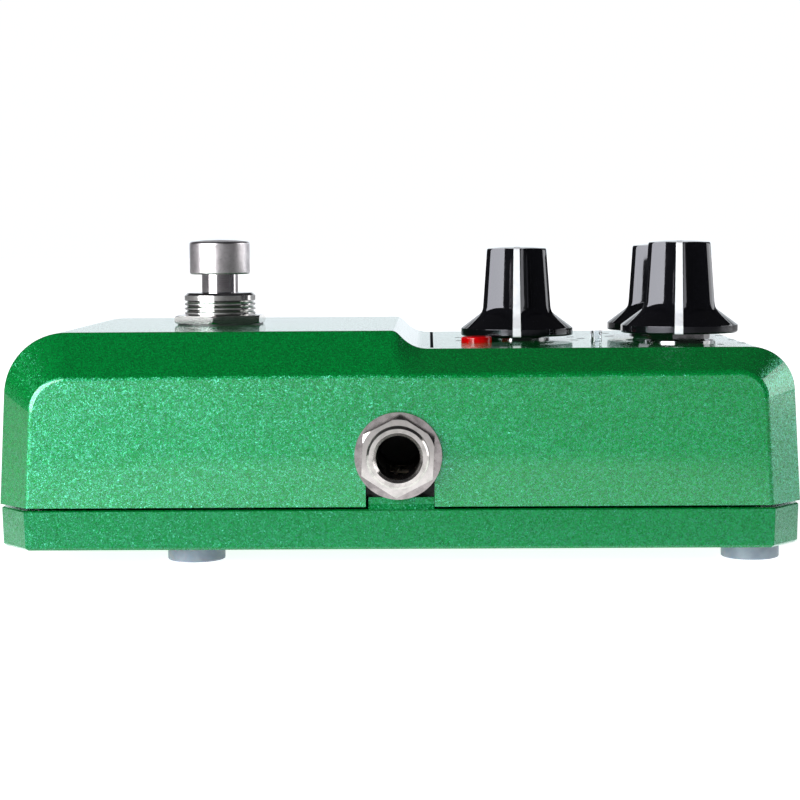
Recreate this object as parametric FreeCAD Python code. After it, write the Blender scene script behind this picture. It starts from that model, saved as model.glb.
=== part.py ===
import FreeCAD, Part
import math
import os

# Guitar effects pedal: a cast two-part enclosure with a stepped top, a latching footswitch,
# three fluted knobs on their potentiometers, and a jack on each side.
#
# Millimetres. The origin is on the floor under the middle of the enclosure. +X points to the
# control end, -Y to the player's right-hand side (input jack), +Z up.

V = FreeCAD.Vector
UP = V(0, 0, 1)

# ---- driving dimensions ---------------------------------------------------------------------

LENGTH = 124.0            # end to end, at the seam
WIDTH = 72.0              # over the flat side faces
WALL = 2.2                # cast wall
BEVEL_WIDTH = 6.0         # bevel band round each side face, across Y
CORNER_CHAMFER = 5.2      # plan chamfer of the housing's upright corners, along X
PLATE_CHAMFER = 4.5       # the same on the bottom plate
END_DRAFT = math.tan(math.radians(3.1))

FOOT_HEIGHT = 2.75        # rubber feet stand this far out of the bottom plate
SEAM_Z = 9.1
SEAM_GAP = 0.4
SIDE_TOPS_Z = (29.1, 29.65)  # top of the flat side faces, at the player's end and control end
LOW_TOP_Z = 33.05         # control panel
HIGH_TOP_Z = 35.85        # footswitch panel
STEP_X = -0.45            # where the two panels meet
STEP_ANGLE = math.radians(45.0)
STEP_RADII = (1.7, 5.2)   # over the top of the step, at its foot
END_RADII = (9.8, 6.9)    # player's end, control end
SIDE_CORNER_RADII = (5.5, 4.2)
TOP_EDGE_RADIUS = 0.5     # between the panels and the bevels
SIDE_EDGE_RADIUS = 1.0    # between the bevels and the side faces

JACK_X = 0.0
JACK_Z = 17.1
JACK_SLOT = 10.5          # width of the slots that the jacks drop into
SLOT_X = 0.25             # the slots' middle
JACK_BORE_R = 3.35

POWER_JACK_Z = 17.05
POWER_HOLE_R = 5.75

SWITCH_X = -30.35
SWITCH_TRAVEL = 2.3
SWITCH_THREAD_R = 6.0

POT_BUSHING_R = 3.5
KNOB_HEIGHT = 14.8
KNOB_RIM_R = 9.4
KNOBS = {                 # name: (x, y, height of the skirt's underside)
    "centre": (19.55, 0.0, 33.7),
    "near": (45.25, -13.0, 34.6),
    "far": (45.25, 13.0, 34.0),
}

KNOB_TURNS = {            # each pointer's angle from -Y at rest
    "centre": -2.4,
    "near": -7.0,
    "far": -6.4,
}

LED_PLACE = (12.5, -10.7)
LED_R = 2.5
LED_PROUD = 0.95          # how far it stands out of the panel
PIPE_PLACE = (32.05, -10.0)
PIPE_R = 0.95
PIPE_PROUD = 1.75

BOARD = 1.6               # circuit board thickness
MAIN_BOARD_Z = 7.5
CONTROL_BOARD_Z = 22.5

SCREW_R = 1.5             # case screws, M3
BOSS_R = 3.5              # housing bosses that the screws bite into
POST_R = 4.0              # plate posts that the screws pass through
SCREW_BITE = 10.5         # depth of the tapped holes

FIT = 0.05                # radial gap of every running or slip fit
HOLE_GAP = 0.15           # radial gap round the threaded bushings in their panel holes
OVER = 1.0                # how far a cutter runs past what it cuts

HALF_LENGTH = LENGTH / 2
HALF_WIDTH = WIDTH / 2
HOUSING_BOTTOM_Z = SEAM_Z + SEAM_GAP / 2
PLATE_TOP_Z = SEAM_Z - SEAM_GAP / 2
PLATE_FLOOR_Z = FOOT_HEIGHT + WALL
MAIN_TOP_Z = MAIN_BOARD_Z + BOARD
CONTROL_TOP_Z = CONTROL_BOARD_Z + BOARD
LOW_INSIDE_Z = LOW_TOP_Z - WALL
HIGH_INSIDE_Z = HIGH_TOP_Z - WALL
STEP_END_X = STEP_X + (HIGH_TOP_Z - LOW_TOP_Z) / math.tan(STEP_ANGLE)

SCREW_PLACES = [(x, y) for x in (-54.0, 54.0) for y in (-17.0, 17.0)]
FEET = {
    "near_left": (-31.95, -26.0),
    "near_right": (54.85, -26.0),
    "far_left": (-31.95, 26.0),
    "far_right": (54.85, 26.0),
}
BOARD_POSTS = [(x, y) for x in (-43.0, 43.0) for y in (-19.5, 19.5)]

parts = {}


# ---- small helpers --------------------------------------------------------------------------

def box(x0, x1, y0, y1, z0, z1):
    """A box between two corners."""
    return Part.makeBox(x1 - x0, y1 - y0, z1 - z0, V(x0, y0, z0))


def rod(radius, foot, length, axis=UP):
    """A cylinder that starts at foot and runs along axis."""
    return Part.makeCylinder(radius, length, V(*foot), axis)


def tube(outer, inner, foot, length, axis=UP):
    """A ring or tube."""
    return rod(outer, foot, length, axis).cut(rod(inner, foot, length, axis))


def joined(shapes):
    """One solid out of several that touch or overlap."""
    first, *others = shapes
    return first.fuse(others).removeSplitter()


def group(shapes):
    """Separate solids that share one node."""
    return Part.makeCompound(shapes)


def corner_arc(before, here, after, radius):
    """Start, middle and end of the arc that rounds the corner at here."""
    if radius == 0:
        return here, None, here
    back = (before - here).normalize()
    ahead = (after - here).normalize()
    half = back.getAngle(ahead) / 2
    reach = radius / math.tan(half)
    inward = (back + ahead).normalize()
    middle = here + inward * (radius / math.sin(half) - radius)
    return here + back * reach, middle, here + ahead * reach


def rounded_wire(corners, y=0.0, closed=True):
    """A wire in the plane y through (x, z, radius) corners, rounded where radius > 0."""
    points = [V(x, y, z) for x, z, _ in corners]
    count = len(points)
    arcs = [corner_arc(points[k - 1], points[k], points[(k + 1) % count], corners[k][2])
            for k in range(count)]
    edges = []
    for k, (start, middle, finish) in enumerate(arcs):
        if middle is not None:
            edges.append(Part.Arc(start, middle, finish).toShape())
        if closed or k < count - 1:
            edges.append(Part.LineSegment(finish, arcs[(k + 1) % count][0]).toShape())
    return Part.Wire(edges)


def spun(profile):
    """A closed profile of (radius, z) or (radius, z, rounding) turned round the Z axis."""
    corners = [(*point, 0)[:3] for point in profile]
    return Part.Face(rounded_wire(corners)).revolve(V(0, 0, 0), UP, 360)


def hexagon(across_flats, hole, foot, length, axis=UP, turn=0.0, chamfer=0.35):
    """A hexagon nut with a round hole and both faces' corners chamfered."""
    corner = across_flats / math.sqrt(3)
    angles = [math.radians(turn + 60 * k) for k in range(7)]
    outline = [V(corner * math.cos(a), corner * math.sin(a), 0) for a in angles]
    nut = Part.Face(Part.makePolygon(outline)).extrude(V(0, 0, length))
    slope = math.tan(math.radians(30))
    flat = corner - chamfer / slope
    limits = spun([(0, 0), (flat, 0), (corner, chamfer), (corner, length - chamfer),
                   (flat, length), (0, length)])
    nut = nut.common(limits).cut(rod(hole, (0, 0, 0), length))
    nut.Placement = FreeCAD.Placement(V(*foot), FreeCAD.Rotation(UP, axis))
    return nut


def moved(shape, offset, turn=0.0):
    """A copy turned about the Z axis through the origin, then shifted."""
    copy = shape.copy()
    copy.rotate(V(0, 0, 0), UP, turn)
    copy.translate(V(*offset))
    return copy


def threaded(crest, root, z0, z1, pitch, bore):
    """An outside-threaded sleeve, its thread drawn as rings, with a lead chamfer on top."""
    lead = crest - root
    outline = [(bore, z0), (crest, z0)]
    z = z0 + pitch
    while z < z1 - lead - pitch:
        outline += [(crest, z), (root, z + 0.35 * pitch), (crest, z + 0.7 * pitch)]
        z += pitch
    outline += [(crest, z1 - lead), (root, z1), (bore + 0.25, z1), (bore, z1 - 0.25)]
    return spun(outline)


# ---- enclosure ------------------------------------------------------------------------------

def full_section(y, inset, bottom):
    """The enclosure's lengthwise section between the bevels, shrunk by inset all round."""
    low = LOW_TOP_Z - inset
    high = HIGH_TOP_Z - inset

    def end_x(z):
        return HALF_LENGTH - inset - (z - HOUSING_BOTTOM_Z) * END_DRAFT

    return rounded_wire([
        (-end_x(bottom), bottom, 0),
        (-end_x(high), high, END_RADII[0] - inset),
        (STEP_X, high, STEP_RADII[0]),
        (STEP_END_X, low, STEP_RADII[1]),
        (end_x(low), low, END_RADII[1] - inset),
        (end_x(bottom), bottom, 0),
    ], y)


def side_section(y, inset, bottom):
    """The flat side face's outline, split along its top edge where the step's curves end."""
    left_top, right_top = (z - inset for z in SIDE_TOPS_Z)

    def end_x(z):
        return HALF_LENGTH - CORNER_CHAMFER - inset - (z - HOUSING_BOTTOM_Z) * END_DRAFT

    left_x = -end_x(left_top)
    right_x = end_x(right_top)

    def top_at(x):
        return left_top + (right_top - left_top) * (x - left_x) / (right_x - left_x)

    along = math.cos(STEP_ANGLE)
    reach_1, reach_2 = (radius * math.tan(STEP_ANGLE / 2) for radius in STEP_RADII)
    split = [STEP_X - reach_1, STEP_X + reach_1 * along,
             STEP_END_X - reach_2 * along, STEP_END_X + reach_2]
    left, right = (radius - inset / 2 for radius in SIDE_CORNER_RADII)
    return rounded_wire([
        (-end_x(bottom), bottom, 0),
        (left_x, left_top, left),
        *[(x, top_at(x), 0) for x in split],
        (right_x, right_top, right),
        (end_x(bottom), bottom, 0),
    ], y)


def enclosure_block(inset, bottom, bevel_start):
    """The upper housing's form: full sections joined to the smaller side faces by bevels."""
    side = HALF_WIDTH - inset
    sections = [
        side_section(-side, inset, bottom),
        full_section(-bevel_start, inset, bottom),
        full_section(bevel_start, inset, bottom),
        side_section(side, inset, bottom),
    ]
    return Part.makeLoft(sections, True, True)


def edges_at(shape, y):
    """The edges that lie in the planes +y and -y, apart from those along the open bottom."""
    found = []
    for edge in shape.Edges:
        limits = edge.BoundBox
        in_plane = abs(abs(limits.YMin) - y) < 1e-4 and limits.YLength < 1e-4
        if in_plane and limits.ZMax > HOUSING_BOTTOM_Z + 0.01:
            found.append(edge)
    return found


def jack_slot(side):
    """Cutter for one jack slot: round at the top and open down to the seam."""
    depth = WALL + 3 * OVER
    y0 = side * (HALF_WIDTH + OVER - depth / 2) - depth / 2
    half = JACK_SLOT / 2
    hole = rod(half, (SLOT_X, y0, JACK_Z), depth, V(0, 1, 0))
    mouth = box(SLOT_X - half, SLOT_X + half, y0, y0 + depth, SEAM_Z - OVER, JACK_Z)
    return hole.fuse(mouth)


def make_upper_housing():
    """Cast shell with the panel holes, jack slots, power hole and four screw bosses."""
    outside = enclosure_block(0.0, HOUSING_BOTTOM_Z, HALF_WIDTH - BEVEL_WIDTH)
    outside = outside.makeFillet(TOP_EDGE_RADIUS, edges_at(outside, HALF_WIDTH - BEVEL_WIDTH))
    outside = outside.makeFillet(SIDE_EDGE_RADIUS, edges_at(outside, HALF_WIDTH))
    below = HOUSING_BOTTOM_Z - 5 * OVER
    cavity = enclosure_block(WALL, below, HALF_WIDTH - BEVEL_WIDTH - WALL / 2)
    shell = outside.cut(cavity)

    bosses = []
    web_half = 1.5
    web_z = (HOUSING_BOTTOM_Z + 1.0, LOW_INSIDE_Z - 1.0)
    for x, y in SCREW_PLACES:
        wall_x = math.copysign(HALF_LENGTH - WALL, x)
        bosses.append(rod(BOSS_R, (x, y, PLATE_TOP_Z), LOW_INSIDE_Z - PLATE_TOP_Z))
        bosses.append(box(min(x, wall_x), max(x, wall_x), y - web_half, y + web_half, *web_z))
    inside_form = enclosure_block(WALL / 2, below, HALF_WIDTH - BEVEL_WIDTH)
    bosses = [boss.common(inside_form) for boss in bosses]
    shell = joined([shell] + bosses)

    through = WALL + 2 * OVER
    low_z = LOW_INSIDE_Z - OVER
    cutters = [jack_slot(-1), jack_slot(1)]
    cutters.append(rod(POWER_HOLE_R, (HALF_LENGTH - 3 * WALL, 0, POWER_JACK_Z), 4 * WALL, V(1, 0, 0)))
    cutters.append(rod(SWITCH_THREAD_R + HOLE_GAP, (SWITCH_X, 0, HIGH_INSIDE_Z - OVER), through))
    for x, y, _ in KNOBS.values():
        cutters.append(rod(POT_BUSHING_R + HOLE_GAP, (x, y, low_z), through))
    cutters.append(rod(LED_R + 2 * FIT, (*LED_PLACE, low_z), through))
    cutters.append(rod(PIPE_R + FIT, (*PIPE_PLACE, low_z), through))
    for x, y in SCREW_PLACES:
        cutters.append(rod(SCREW_R + FIT, (x, y, PLATE_TOP_Z), SCREW_BITE))
    return shell.cut(cutters)


def plate_outline(z, inset):
    """The bottom plate's eight-sided plan at height z, a little shorter than the housing."""
    half_x = HALF_LENGTH - 0.3 - inset
    half_y = HALF_WIDTH - inset
    chamfer_x = half_x - PLATE_CHAMFER
    chamfer_y = HALF_WIDTH - BEVEL_WIDTH - 0.6 * inset
    corners = [(half_x, chamfer_y), (chamfer_x, half_y), (-chamfer_x, half_y), (-half_x, chamfer_y),
               (-half_x, -chamfer_y), (-chamfer_x, -half_y), (chamfer_x, -half_y),
               (half_x, -chamfer_y), (half_x, chamfer_y)]
    return Part.makePolygon([V(x, y, z) for x, y in corners])


def jack_tongue(side):
    """The plate's tongue that closes one jack slot, with a small sloped step at its foot."""
    setback = 0.5
    half = JACK_SLOT / 2 - 0.25
    x0 = SLOT_X + 0.17 - half
    outer = side * (HALF_WIDTH - 0.2)
    face = side * (HALF_WIDTH - setback)
    back = side * (HALF_WIDTH - WALL + 0.1)
    root_z = PLATE_TOP_Z - 2
    step_root_z = PLATE_TOP_Z - 0.2
    upright = box(x0, x0 + 2 * half, min(face, back), max(face, back), root_z, SEAM_Z + 1.6)
    step = Part.makePolygon([V(x0, outer, step_root_z), V(x0, outer, PLATE_TOP_Z),
                             V(x0, face, PLATE_TOP_Z + 0.75), V(x0, face, step_root_z),
                             V(x0, outer, step_root_z)])
    return joined([upright, Part.Face(step).extrude(V(2 * half, 0, 0))])


def make_bottom_plate():
    """Shallow tray with two tongues that close the jack slots, screw posts and board posts."""
    edge = 0.4
    lip = 0.2
    draft = 0.15
    outside = Part.makeLoft([plate_outline(FOOT_HEIGHT, draft + edge),
                             plate_outline(FOOT_HEIGHT + edge, draft),
                             plate_outline(PLATE_TOP_Z - lip, 0.0),
                             plate_outline(PLATE_TOP_Z, lip)], True, True)
    cavity = Part.makeLoft([plate_outline(PLATE_FLOOR_Z, WALL),
                            plate_outline(PLATE_TOP_Z + OVER, WALL)], True, True)
    pieces = [outside.cut(cavity), jack_tongue(-1), jack_tongue(1)]
    for x, y in SCREW_PLACES:
        pieces.append(rod(POST_R, (x, y, PLATE_FLOOR_Z - OVER), PLATE_TOP_Z - PLATE_FLOOR_Z + OVER))
    for x, y in BOARD_POSTS:
        pieces.append(rod(2.5, (x, y, PLATE_FLOOR_Z - OVER), MAIN_BOARD_Z - PLATE_FLOOR_Z + OVER))
    plate = joined(pieces)

    cutters = []
    for x, y in SCREW_PLACES:
        cutters.append(rod(SCREW_R + HOLE_GAP, (x, y, 0), PLATE_TOP_Z + OVER))
        cutters.append(Part.makeCone(3.1, SCREW_R + HOLE_GAP, 1.7, V(x, y, FOOT_HEIGHT)))
    return plate.cut(cutters)


def make_bottom_screws():
    """Four countersunk machine screws with hexagon sockets, just below the plate's underside."""
    head_r = 2.85
    head_z = FOOT_HEIGHT + 0.15
    head_height = 1.5
    socket_flats = 2.0
    socket_depth = 1.0
    shank_length = 12.0
    screws = []
    for x, y in SCREW_PLACES:
        head = Part.makeCone(head_r, SCREW_R, head_height, V(x, y, head_z))
        shank = rod(SCREW_R, (x, y, head_z + head_height - 0.1), shank_length)
        socket = hexagon(socket_flats, 0.01, (x, y, head_z - 0.2), socket_depth + 0.2, chamfer=0.01)
        screws.append(head.fuse(shank).cut(socket))
    return group(screws)


def make_foot(x, y):
    """Moulded rubber foot: a disc with a softened lower edge."""
    radius = 4.5
    edge = 0.3
    foot = rod(radius, (x, y, 0), FOOT_HEIGHT)
    lower = [e for e in foot.Edges if abs(e.BoundBox.ZMax) < 1e-6]
    return foot.makeFillet(edge, lower)


parts["upper_housing"] = make_upper_housing()
parts["bottom_plate"] = make_bottom_plate()
parts["bottom_screws"] = make_bottom_screws()
for foot_name, foot_place in FEET.items():
    parts["foot_" + foot_name] = make_foot(*foot_place)


# ---- side jacks -----------------------------------------------------------------------------
# Each jack is drawn for the near side (its mouth faces -Y) with its axis through the origin,
# then turned half round for the far side.

JACK_FACE_Y = -HALF_WIDTH
JACK_INSIDE_Y = -(HALF_WIDTH - WALL)
JACK_TIP_Y = JACK_FACE_Y - 3.7
JACK_REAR_Y = -10.2
JACK_BODY_HALF = 7.5
JACK_BODY_LOW = -6.4
JACK_BODY_HIGH = 6.4
OUTWARD = V(0, -1, 0)


def jack_bushing():
    """Threaded metal nose with a chamfered mouth."""
    spigot = 2.1
    length = JACK_INSIDE_Y - JACK_TIP_Y + spigot
    nose = threaded(4.72, 4.42, spigot, length, 0.7, JACK_BORE_R)
    nose = joined([nose, tube(4.3, JACK_BORE_R, (0, 0, 0), spigot + 0.2)])
    mouth = Part.makeCone(JACK_BORE_R, JACK_BORE_R + 0.45, 0.45, V(0, 0, length - 0.45))
    nose = nose.cut(mouth)
    nose.Placement = FreeCAD.Placement(V(0, JACK_INSIDE_Y + spigot, 0),
                                       FreeCAD.Rotation(UP, OUTWARD))
    return nose


def jack_washer():
    """Flat washer that covers the slot."""
    return tube(6.65, 4.72 + FIT, (0, JACK_FACE_Y, 0), 0.5, OUTWARD)


def jack_nut():
    """Thin hexagon nut on the nose."""
    return hexagon(10.8, 4.72 + FIT, (0, JACK_FACE_Y - 0.5, 0), 2.0, OUTWARD, turn=27.0,
                   chamfer=0.3)


def jack_body():
    """Moulded box round the plug's barrel, with windows for the two contact springs."""
    body = box(-JACK_BODY_HALF, JACK_BODY_HALF, JACK_INSIDE_Y, JACK_REAR_Y,
               JACK_BODY_LOW, JACK_BODY_HIGH)
    cutters = [
        rod(3.7, (0, JACK_INSIDE_Y - 1, 0), JACK_REAR_Y - JACK_INSIDE_Y, V(0, 1, 0)),
        rod(4.3 + FIT, (0, JACK_INSIDE_Y - 1, 0), 1 + 2.1, V(0, 1, 0)),
        box(-2.6, 2.6, -26.0, JACK_REAR_Y + 1, 1.9, 5.2),
        box(-2.3, 2.3, -29.0, -19.0, JACK_BODY_LOW - 1, -2.0),
    ]
    return body.cut(cutters)


def jack_contacts():
    """Tip spring above the barrel and sleeve spring below it, each with its board leg."""
    leg_foot = MAIN_TOP_Z - JACK_Z
    leaf = box(-2.3, 0.8, -31.2, JACK_REAR_Y + 0.5, 2.6, 2.95)
    leaf.rotate(V(-0.75, 0, 2.75), V(0, 1, 0), -18)
    tip_leg = box(-1.2, 1.2, JACK_REAR_Y + 0.15, JACK_REAR_Y + 0.5, leg_foot, 3.0)
    sleeve = box(-1.5, 1.5, -28.0, -19.6, -3.55, -3.2)
    sleeve_leg = box(-1.2, 1.2, -20.0, -19.6, leg_foot, -3.3)
    return group([joined([leaf, tip_leg]), joined([sleeve, sleeve_leg])])


for jack_name, jack_turn in (("input_jack", 0), ("output_jack", 180)):
    jack_pieces = {
        "bushing": jack_bushing(),
        "washer": jack_washer(),
        "nut": jack_nut(),
        "body": jack_body(),
        "contacts": jack_contacts(),
    }
    for piece_name, piece in jack_pieces.items():
        node = jack_name + "_" + piece_name
        parts[node] = moved(piece, (JACK_X, 0, JACK_Z), jack_turn)


# ---- power jack -----------------------------------------------------------------------------

POWER_FRONT_X = HALF_LENGTH - WALL - 1.0
POWER_LENGTH = 14.0
POWER_DEPTH = 9.5
POWER_BORE_R = 3.15


def make_power_jack_body():
    """Moulded socket hung under the control board, its mouth facing +X."""
    rear = POWER_FRONT_X - POWER_LENGTH
    body = box(rear, POWER_FRONT_X, -4.5, 4.5, POWER_JACK_Z - 5.5, CONTROL_BOARD_Z)
    bore = rod(POWER_BORE_R, (POWER_FRONT_X - POWER_DEPTH, 0, POWER_JACK_Z), 20, V(1, 0, 0))
    pin_hole = rod(1.0 + FIT, (rear - 1, 0, POWER_JACK_Z), POWER_LENGTH, V(1, 0, 0))
    return body.cut([bore, pin_hole])


def make_power_jack_pin():
    """Centre pin with a rounded tip."""
    rear = POWER_FRONT_X - POWER_LENGTH
    pin = rod(1.0, (rear, 0, POWER_JACK_Z), POWER_LENGTH - 1.2, V(1, 0, 0))
    tip = [e for e in pin.Edges if e.BoundBox.XMin > POWER_FRONT_X - 2]
    return pin.makeFillet(0.6, tip)


def make_power_jack_terminals():
    """Two flat solder lugs behind the socket."""
    rear = POWER_FRONT_X - POWER_LENGTH
    lugs = []
    for y in (-3.2, 2.0):
        lugs.append(box(rear - 0.5, rear - 0.02, y, y + 1.2, POWER_JACK_Z - 3.5, CONTROL_BOARD_Z))
    return group(lugs)


parts["power_jack_body"] = make_power_jack_body()
parts["power_jack_pin"] = make_power_jack_pin()
parts["power_jack_terminals"] = make_power_jack_terminals()


# ---- footswitch -----------------------------------------------------------------------------

BUSHING_TOP_Z = 41.15
CAP_BOTTOM_Z = 44.25
CAP_TOP_Z = 50.0
CAP_R = 5.05
NECK_R = 3.05
DRESS_WASHER_R = 7.2
WASHER_THICK = 0.25
SWITCH_NUT_FLATS = 14.2
NUT_THICK = 1.3
LOCK_WASHER_R = 8.5
LOCK_THICK = 0.5
LOWER_NUT_THICK = 2.0
FRAME_TOP_Z = 28.15
FRAME_BOTTOM_Z = 21.65
BASE_BOTTOM_Z = 15.65
LUG_BOTTOM_Z = 14.15
SWITCH_HALF = 8.7
COLLAR_TOP_Z = 27.05
COLLAR_BOTTOM_Z = 26.05
COLLAR_R = 4.2
TAIL_BOTTOM_Z = 23.55


def make_footswitch_frame():
    """Threaded bushing in one casting with the switch's top cover."""
    cover = box(-SWITCH_HALF, SWITCH_HALF, -SWITCH_HALF, SWITCH_HALF, FRAME_BOTTOM_Z, FRAME_TOP_Z)
    upright = [e for e in cover.Edges if e.BoundBox.ZLength > 1]
    cover = cover.makeFillet(1.0, upright)
    below = FRAME_BOTTOM_Z - OVER
    cover = cover.cut([rod(NECK_R + FIT, (0, 0, below), FRAME_TOP_Z + OVER - below),
                       rod(COLLAR_R + 0.2, (0, 0, below), COLLAR_TOP_Z + 0.1 - below)])
    root = SWITCH_THREAD_R - 0.42
    sleeve = threaded(SWITCH_THREAD_R, root, FRAME_TOP_Z, BUSHING_TOP_Z, 0.75, NECK_R + FIT)
    return moved(joined([cover, sleeve]), (SWITCH_X, 0, 0))


def make_footswitch_plunger():
    """Turned steel plunger: a domed cap, a neck, and the collar that keeps it in."""
    dome = 0.35
    tail_r = 1.6
    plunger = spun([
        (0, TAIL_BOTTOM_Z), (tail_r, TAIL_BOTTOM_Z), (tail_r, COLLAR_BOTTOM_Z),
        (COLLAR_R, COLLAR_BOTTOM_Z), (COLLAR_R, COLLAR_TOP_Z), (NECK_R, COLLAR_TOP_Z),
        (NECK_R, CAP_BOTTOM_Z), (CAP_R, CAP_BOTTOM_Z, 0.3), (CAP_R, CAP_TOP_Z - dome, 0.45),
        (CAP_R * 0.55, CAP_TOP_Z - dome * 0.2, 3.0), (0, CAP_TOP_Z),
    ])
    return moved(plunger, (SWITCH_X, 0, 0))


def make_footswitch_spring():
    """Return spring round the plunger's tail, between the base and the collar."""
    wire_r = 0.3
    coil_r = 3.2
    foot = FRAME_BOTTOM_Z + wire_r + 0.1
    height = COLLAR_BOTTOM_Z - wire_r - 0.1 - foot
    helix = Part.makeHelix(height / 2.5, height, coil_r)
    section = Part.Wire(Part.makeCircle(wire_r, V(coil_r, 0, 0), V(0, 1, 0)))
    coil = Part.Wire(helix.Edges).makePipeShell([section], True, True)
    return moved(coil, (SWITCH_X, 0, foot))


def make_footswitch_base():
    """Moulded contact block under the frame."""
    half = SWITCH_HALF - 0.2
    base = box(-half, half, -half, half, BASE_BOTTOM_Z, FRAME_BOTTOM_Z)
    tail_room = rod(2.0, (0, 0, TAIL_BOTTOM_Z - SWITCH_TRAVEL - 0.5), FRAME_BOTTOM_Z)
    base = base.cut(tail_room)
    return moved(base, (SWITCH_X, 0, 0))


def make_footswitch_lugs():
    """Nine solder lugs in three rows."""
    lugs = []
    for i in (-1, 0, 1):
        for j in (-1, 0, 1):
            x = SWITCH_X + 5.0 * i
            y = 5.0 * j
            lugs.append(box(x - 1.0, x + 1.0, y - 0.3, y + 0.3, LUG_BOTTOM_Z, BASE_BOTTOM_Z))
    return group(lugs)


parts["footswitch_frame"] = make_footswitch_frame()
parts["footswitch_plunger"] = make_footswitch_plunger()
parts["footswitch_spring"] = make_footswitch_spring()
parts["footswitch_base"] = make_footswitch_base()
parts["footswitch_lugs"] = make_footswitch_lugs()
parts["footswitch_washer"] = tube(DRESS_WASHER_R, SWITCH_THREAD_R + FIT,
                                  (SWITCH_X, 0, HIGH_TOP_Z), WASHER_THICK)
parts["footswitch_nut"] = hexagon(SWITCH_NUT_FLATS, SWITCH_THREAD_R + FIT,
                                  (SWITCH_X, 0, HIGH_TOP_Z + WASHER_THICK),
                                  NUT_THICK, turn=27.0, chamfer=0.3)
parts["footswitch_lock_washer"] = tube(LOCK_WASHER_R, SWITCH_THREAD_R + FIT,
                                       (SWITCH_X, 0, HIGH_INSIDE_Z - LOCK_THICK), LOCK_THICK)
parts["footswitch_lower_nut"] = hexagon(SWITCH_NUT_FLATS, SWITCH_THREAD_R + FIT,
                                        (SWITCH_X, 0, HIGH_INSIDE_Z - LOCK_THICK - LOWER_NUT_THICK),
                                        LOWER_NUT_THICK, turn=10.0)


# ---- potentiometers and knobs ---------------------------------------------------------------

POT_TOP_Z = LOW_INSIDE_Z - 0.3
POT_HALF = 4.9
POT_BUSHING_TOP_Z = LOW_TOP_Z + 3.7
POT_WASHER_R = 5.5
POT_WASHER_THICK = 0.3
POT_NUT_FLATS = 9.0
POT_NUT_THICK = 1.5
SHAFT_LOW_R = 2.5
SHAFT_HIGH_R = 3.0
SHAFT_TOP_Z = 45.15

BODY_TOP_R = 5.35         # over the knob's lobes, at the top
BODY_FOOT_R = 6.2         # over the lobes, where the skirt begins
SKIRT_ROOT_Z = 3.8        # above the knob's underside
SKIRT_FILLET = 2.8
RIM_HEIGHT = 1.4
KNOB_DOME = 0.3           # rise of the top from its edge to its middle
FLUTE_R = 7.0
FLUTE_COUNT = 6
FLUTE_FLOOR_R = (5.27, 4.6)  # the flutes' floor from the knob's axis, at the skirt and at the top
POINTER_TOP_WIDTH = 0.95
POINTER_RIM_WIDTH = 1.35
POINTER_DEPTH = 0.5


def make_pot_case(x, y):
    """Moulded case that stands on the control board, with the shaft's bearing."""
    case = box(x - POT_HALF, x + POT_HALF, y - POT_HALF - 0.6, y + POT_HALF + 0.6,
               CONTROL_TOP_Z, POT_TOP_Z)
    return case.cut(rod(SHAFT_LOW_R + FIT, (x, y, CONTROL_TOP_Z + 1), POT_TOP_Z))


def make_pot_bushing(x, y):
    """Threaded sleeve with the flange that bears on the housing from inside."""
    flange = tube(4.6, SHAFT_LOW_R + FIT, (x, y, POT_TOP_Z), LOW_INSIDE_Z - POT_TOP_Z)
    sleeve = tube(POT_BUSHING_R, SHAFT_LOW_R + FIT, (x, y, POT_TOP_Z), POT_BUSHING_TOP_Z - POT_TOP_Z)
    return joined([flange, sleeve])


def make_pot_shaft(x, y):
    """Stepped shaft: thin in the bushing, thick inside the knob."""
    step_z = POT_BUSHING_TOP_Z + 0.15
    low_z = CONTROL_TOP_Z + 1.1
    low = rod(SHAFT_LOW_R, (x, y, low_z), step_z - low_z)
    return joined([low, rod(SHAFT_HIGH_R, (x, y, step_z), SHAFT_TOP_Z - step_z)])


def knob_form(shrink):
    """The knob's outer form before fluting, from its underside up, shrunk by shrink."""
    rim_r = KNOB_RIM_R - shrink
    shoulder_r = BODY_TOP_R - shrink
    top = KNOB_HEIGHT - shrink
    return spun([
        (0, 0), (rim_r, 0, 0.3), (rim_r, RIM_HEIGHT - shrink * 0.4, 0.4),
        (BODY_FOOT_R - shrink, SKIRT_ROOT_Z - shrink * 0.4, SKIRT_FILLET),
        (shoulder_r, top - KNOB_DOME, 0.45), (shoulder_r * 0.5, top - KNOB_DOME * 0.2, 4.0), (0, top),
    ])


def flute_cutter():
    """One flute: a shallow round groove that follows the body's taper down to the skirt."""
    foot_r, top_r = (floor_r + FLUTE_R for floor_r in FLUTE_FLOOR_R)
    rise = KNOB_HEIGHT - SKIRT_ROOT_Z
    lean = (top_r - foot_r) / rise
    below = SKIRT_ROOT_Z + 2.0
    groove = rod(FLUTE_R, (foot_r - lean * below, 0, SKIRT_ROOT_Z - below), 24.0, V(lean, 0, 1))
    slope = (SKIRT_ROOT_Z - RIM_HEIGHT) / (KNOB_RIM_R - BODY_FOOT_R)
    reach = KNOB_RIM_R + 2 * FLUTE_R
    shelf_z = RIM_HEIGHT - 0.15
    shelf = spun([(0, -30), (reach, -30), (reach, shelf_z - slope * (reach - KNOB_RIM_R)),
                  (0, shelf_z + slope * KNOB_RIM_R)])
    groove = groove.cut(shelf)
    run_out = [e for e in groove.Edges
               if e.BoundBox.ZMin < SKIRT_ROOT_Z < e.BoundBox.ZMax and e.BoundBox.YLength > FLUTE_R / 2]
    return groove.makeFillet(1.6, run_out)


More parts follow.
